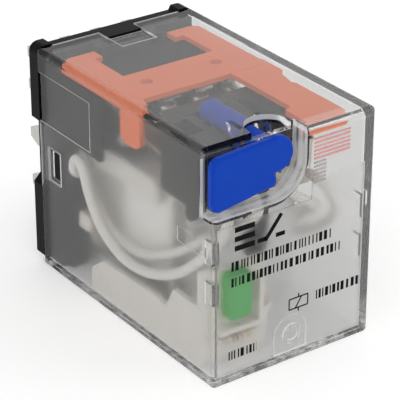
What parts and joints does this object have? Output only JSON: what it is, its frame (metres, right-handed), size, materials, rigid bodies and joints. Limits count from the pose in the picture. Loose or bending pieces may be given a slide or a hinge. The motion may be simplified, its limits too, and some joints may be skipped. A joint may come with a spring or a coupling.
{
  "type": "plug in relay",
  "caption": "Clear-cased plug-in relay with flat blade terminals, a lockable test lever, a mechanical flag and a lamp; switches several poles from one coil.",
  "frame": {"origin": "centre of the rear seating face of the black base, between the blades", "axes": "+Y out of the seating face along the blades, +X across the poles to the right seen from the front, +Z from the coil blades towards the normally closed blades"},
  "size_m": [0.0216, 0.0431, 0.0282],
  "materials": {
    "clear_cover": "clear, polished",
    "black_base": "fine moulded texture",
    "blade_metal": "tin plated",
    "contact_silver": "silver alloy, satin",
    "magnet_iron": "nickel plated",
    "white_moulding": "satin",
    "enamelled_copper": "wound enamelled wire",
    "white_tape": "wrapped polyester tape",
    "circuit_board": "lacquered",
    "green_lens": "diffused, tinted",
    "resistor_body": "lacquered",
    "white_sleeve": "braided sleeve",
    "spring_steel": "bright",
    "spring_bronze": "rolled",
    "dark_moulding": "satin",
    "orange_flag": "satin",
    "blue_lever": "satin"
  },
  "bodies": {
    "case": {"cover": "clear_cover", "base": "black_base", "nc_terminal_1": "blade_metal", "nc_terminal_2": "blade_metal", "nc_terminal_3": "blade_metal", "nc_terminal_4": "blade_metal", "no_terminal_1": "blade_metal", "no_terminal_2": "blade_metal", "no_terminal_3": "blade_metal", "no_terminal_4": "blade_metal", "com_terminal_1": "blade_metal", "com_terminal_2": "blade_metal", "com_terminal_3": "blade_metal", "com_terminal_4": "blade_metal", "coil_terminal_1": "blade_metal", "coil_terminal_2": "blade_metal", "nc_contact_1": "contact_silver", "nc_contact_2": "contact_silver", "nc_contact_3": "contact_silver", "nc_contact_4": "contact_silver", "no_contact_1": "contact_silver", "no_contact_2": "contact_silver", "no_contact_3": "contact_silver", "no_contact_4": "contact_silver", "yoke": "magnet_iron", "coil_core": "magnet_iron", "bobbin": "white_moulding", "coil_winding": "enamelled_copper", "coil_tape": "white_tape", "lamp_bracket": "white_moulding", "lamp_board": "circuit_board", "lamp": "green_lens", "resistor": "resistor_body", "com_wire_1": "white_sleeve", "com_wire_2": "white_sleeve", "com_wire_3": "white_sleeve", "com_wire_4": "white_sleeve", "armature_spring": "spring_steel"},
    "armature": {"armature_plate": "magnet_iron", "contact_carrier": "dark_moulding", "moving_spring_1": "spring_bronze", "moving_spring_2": "spring_bronze", "moving_spring_3": "spring_bronze", "moving_spring_4": "spring_bronze", "moving_contact_1": "contact_silver", "moving_contact_2": "contact_silver", "moving_contact_3": "contact_silver", "moving_contact_4": "contact_silver"},
    "flag": {"flag_card": "orange_flag"},
    "push_shaft": {"test_plunger": "blue_lever"},
    "lever": {"test_lever": "blue_lever"}
  },
  "joints": [
    {"name": "armature_swing", "type": "hinge", "parent": "case", "child": "armature", "pos_m": [0, -0.0256, -0.011], "axis": [1, 0, 0], "range_deg": [-2.6, 0], "stiffness_Nm_per_rad": 0.02, "springref_deg": 17.19, "deforming": ["armature_spring", "com_wire_1", "com_wire_2", "com_wire_3", "com_wire_4"]},
    {"name": "flag_slide", "type": "slide", "parent": "case", "child": "flag", "axis": [0, 1, 0], "range_m": [0, 0.00103]},
    {"name": "test_push", "type": "slide", "parent": "case", "child": "push_shaft", "axis": [0, 1, 0], "range_m": [0, 0.00103]},
    {"name": "lever_turn", "type": "hinge", "parent": "push_shaft", "child": "lever", "pos_m": [-0.0021, -0.0352, 0.0116], "axis": [0, 1, 0], "range_deg": [0, 90]}
  ],
  "couplings": [
    {"joint": "flag_slide", "follows": "armature_swing", "m_per_rad": -0.02255},
    {"joint": "test_push", "follows": "armature_swing", "m_per_rad": -0.02255}
  ]
}
